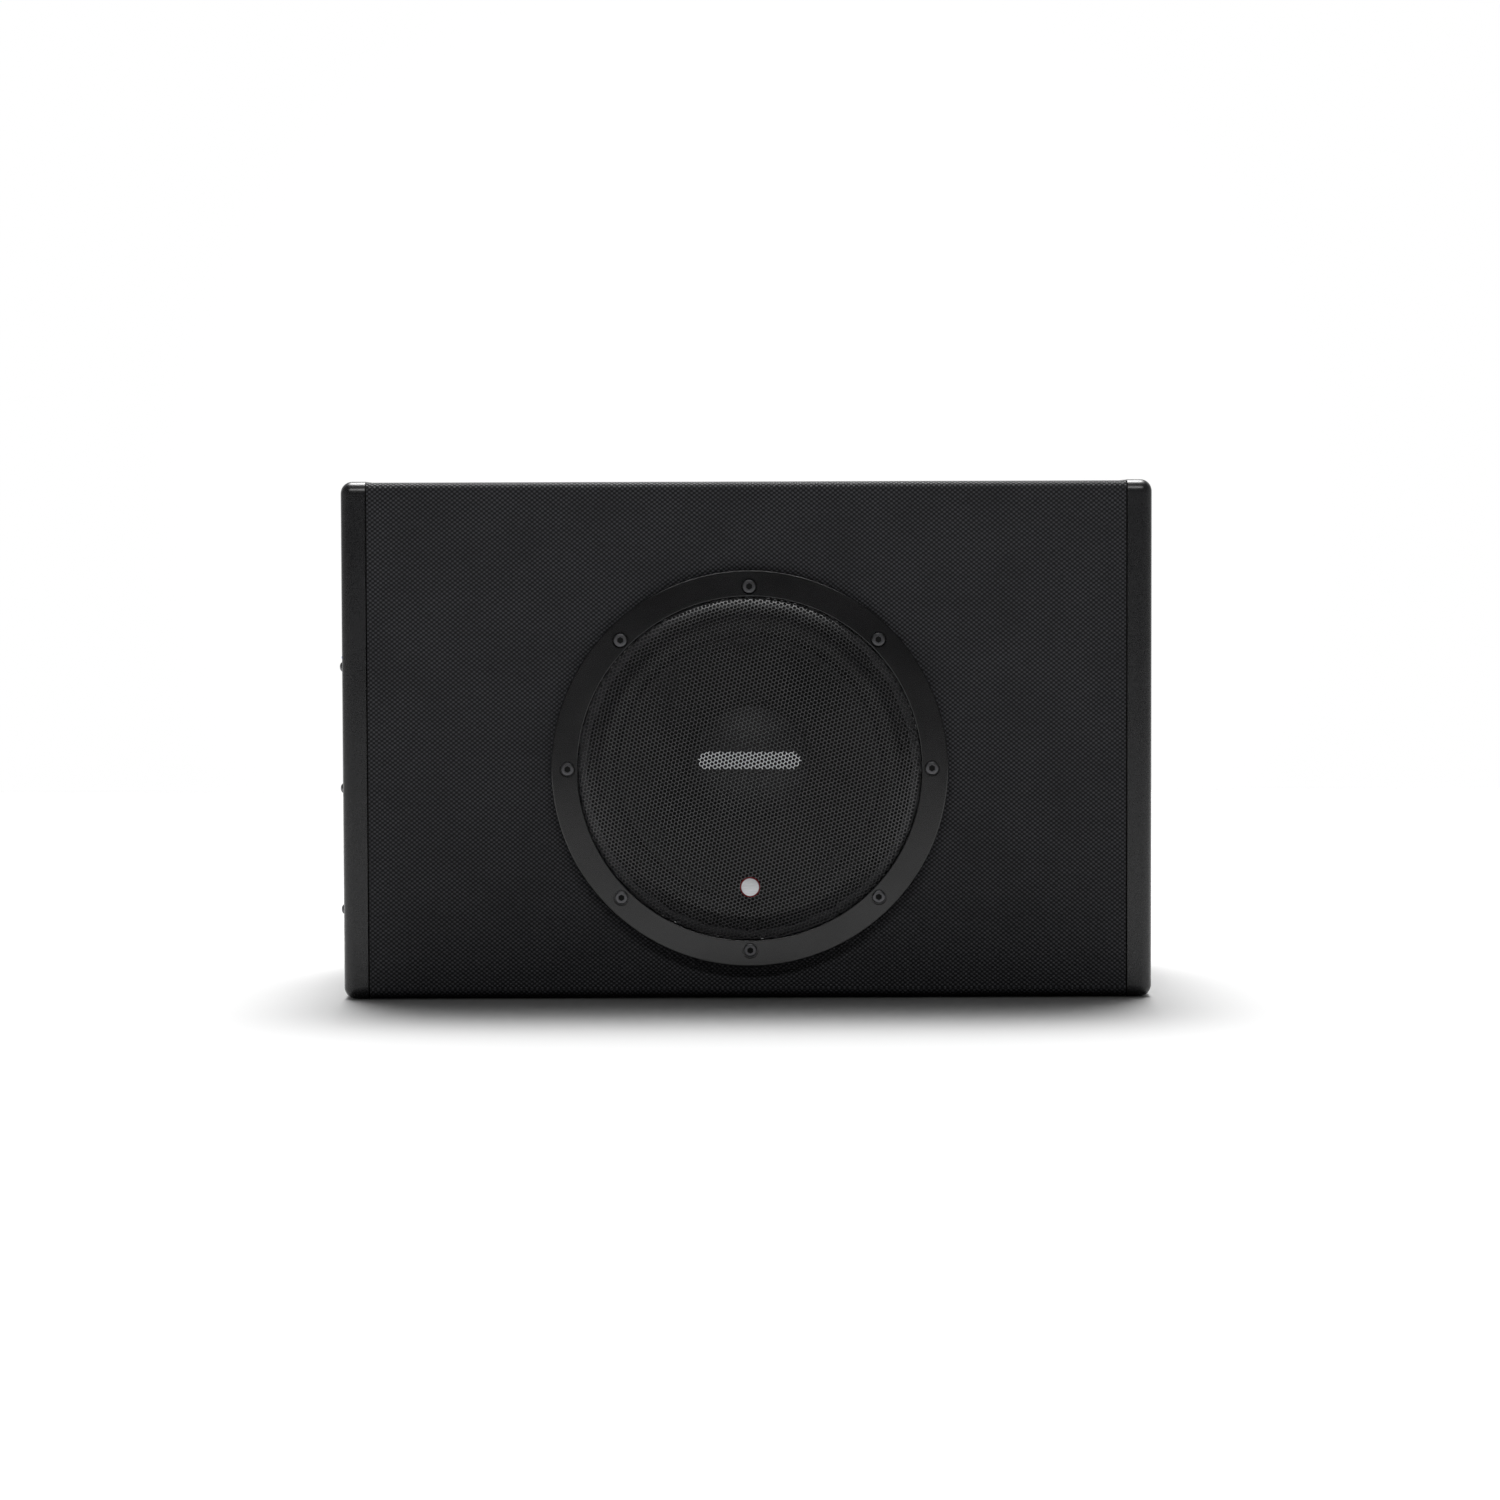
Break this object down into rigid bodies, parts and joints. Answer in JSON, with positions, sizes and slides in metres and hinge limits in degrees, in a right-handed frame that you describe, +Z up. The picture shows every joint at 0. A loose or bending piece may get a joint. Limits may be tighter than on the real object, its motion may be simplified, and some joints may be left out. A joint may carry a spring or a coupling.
{
  "type": "powered car subwoofer",
  "caption": "Compact vinyl-wrapped car subwoofer box with moulded end caps, one grille-covered driver on the front and a built-in amplifier with sunk controls in its left end.",
  "frame": {"origin": "middle of the outline's base, on the floor that the end caps stand on", "axes": "+Z up, -Y out of the grille, -X out of the amplifier panel"},
  "size_m": [0.4631, 0.231, 0.295],
  "materials": {
    "mdf": "bare fibreboard",
    "vinyl": "black vinyl embossed with a plain weave",
    "cap_plastic": "black moulded plastic, fine grain",
    "ring_plastic": "satin black moulded plastic",
    "mesh_steel": "black powder coat on perforated steel",
    "black_screw": "black oxide",
    "badge": "brushed with a dark red rim",
    "basket_paint": "black paint on pressed steel",
    "rubber": "soft matte black",
    "pulp": "pressed black pulp",
    "dust_cap": "satin black",
    "former": "bright foil",
    "copper": "copper wire",
    "spider_cloth": "resin-stiffened cotton",
    "steel": "zinc-plated steel",
    "ferrite": "dark grey ferrite",
    "amp_paint": "fine black powder coat",
    "board_green": "green circuit board",
    "aluminium": "plain extrusion",
    "choke": "enamelled copper winding",
    "sleeve": "shrink sleeve",
    "knob": "satin black",
    "gold": "gold plated",
    "terminal_plastic": "black moulded nylon",
    "fuse_plastic": "orange blade fuse",
    "led_lens": "clear blue lens",
    "wadding": "white polyester wadding",
    "cable": "red insulation"
  },
  "bodies": {
    "enclosure": {"amp_chamber_wall": "mdf", "amp_gasket": "rubber", "amp_panel": "amp_paint", "back_plate_pole": "steel", "badge": "badge", "bottom_panel": "mdf", "capacitor": "sleeve", "circuit_board": "board_green", "damping_pad": "wadding", "driver_basket": "basket_paint", "driver_gasket": "rubber", "front_baffle": "mdf", "fuse": "fuse_plastic", "grille": "mesh_steel", "heat_sink": "aluminium", "left_end_cap": "cap_plastic", "left_side_panel": "mdf", "magnet": "ferrite", "panel_screw_1": "black_screw", "panel_screw_2": "black_screw", "panel_screw_3": "black_screw", "panel_screw_4": "black_screw", "panel_screw_5": "black_screw", "panel_screw_6": "black_screw", "power_led": "led_lens", "power_terminal_block": "terminal_plastic", "rca_jack_left": "gold", "rca_jack_right": "gold", "rear_panel": "mdf", "remote_port": "terminal_plastic", "right_end_cap": "cap_plastic", "right_side_panel": "mdf", "ring_screw_1": "black_screw", "ring_screw_2": "black_screw", "ring_screw_3": "black_screw", "ring_screw_4": "black_screw", "ring_screw_5": "black_screw", "ring_screw_6": "black_screw", "ring_screw_7": "black_screw", "ring_screw_8": "black_screw", "speaker_cable": "cable", "speaker_level_socket": "terminal_plastic", "spider": "spider_cloth", "surround": "rubber", "terminal_block": "terminal_plastic", "tinsel_lead_negative": "copper", "tinsel_lead_positive": "copper", "top_panel": "mdf", "top_plate": "steel", "toroid_inductor": "choke", "trim_ring": "ring_plastic", "vinyl_wrap": "vinyl"},
    "cone_assembly": {"cone": "pulp", "dust_cap": "dust_cap", "voice_coil_former": "former", "voice_coil": "copper"},
    "gain_control": {"gain_knob": "knob"},
    "crossover_control": {"crossover_knob": "knob"},
    "bass_boost_control": {"bass_boost_knob": "knob"},
    "phase_control": {"phase_switch": "knob"}
  },
  "joints": [
    {"name": "cone_excursion", "type": "slide", "parent": "enclosure", "child": "cone_assembly", "axis": [0, -1, 0], "range_m": [-0.007, 0.007], "stiffness_N_per_m": 5000, "deforming": ["surround", "spider", "tinsel_lead_positive", "tinsel_lead_negative"]},
    {"name": "gain_turn", "type": "hinge", "parent": "enclosure", "child": "gain_control", "pos_m": [-0.229, 0.018, 0.16], "axis": [1, 0, 0], "range_deg": [-140, 140]},
    {"name": "crossover_turn", "type": "hinge", "parent": "enclosure", "child": "crossover_control", "pos_m": [-0.229, -0.014, 0.16], "axis": [1, 0, 0], "range_deg": [-140, 140]},
    {"name": "bass_boost_turn", "type": "hinge", "parent": "enclosure", "child": "bass_boost_control", "pos_m": [-0.229, -0.046, 0.16], "axis": [1, 0, 0], "range_deg": [-140, 140]},
    {"name": "phase_slide", "type": "slide", "parent": "enclosure", "child": "phase_control", "axis": [0, 1, 0], "range_m": [0, 0.004]}
  ]
}
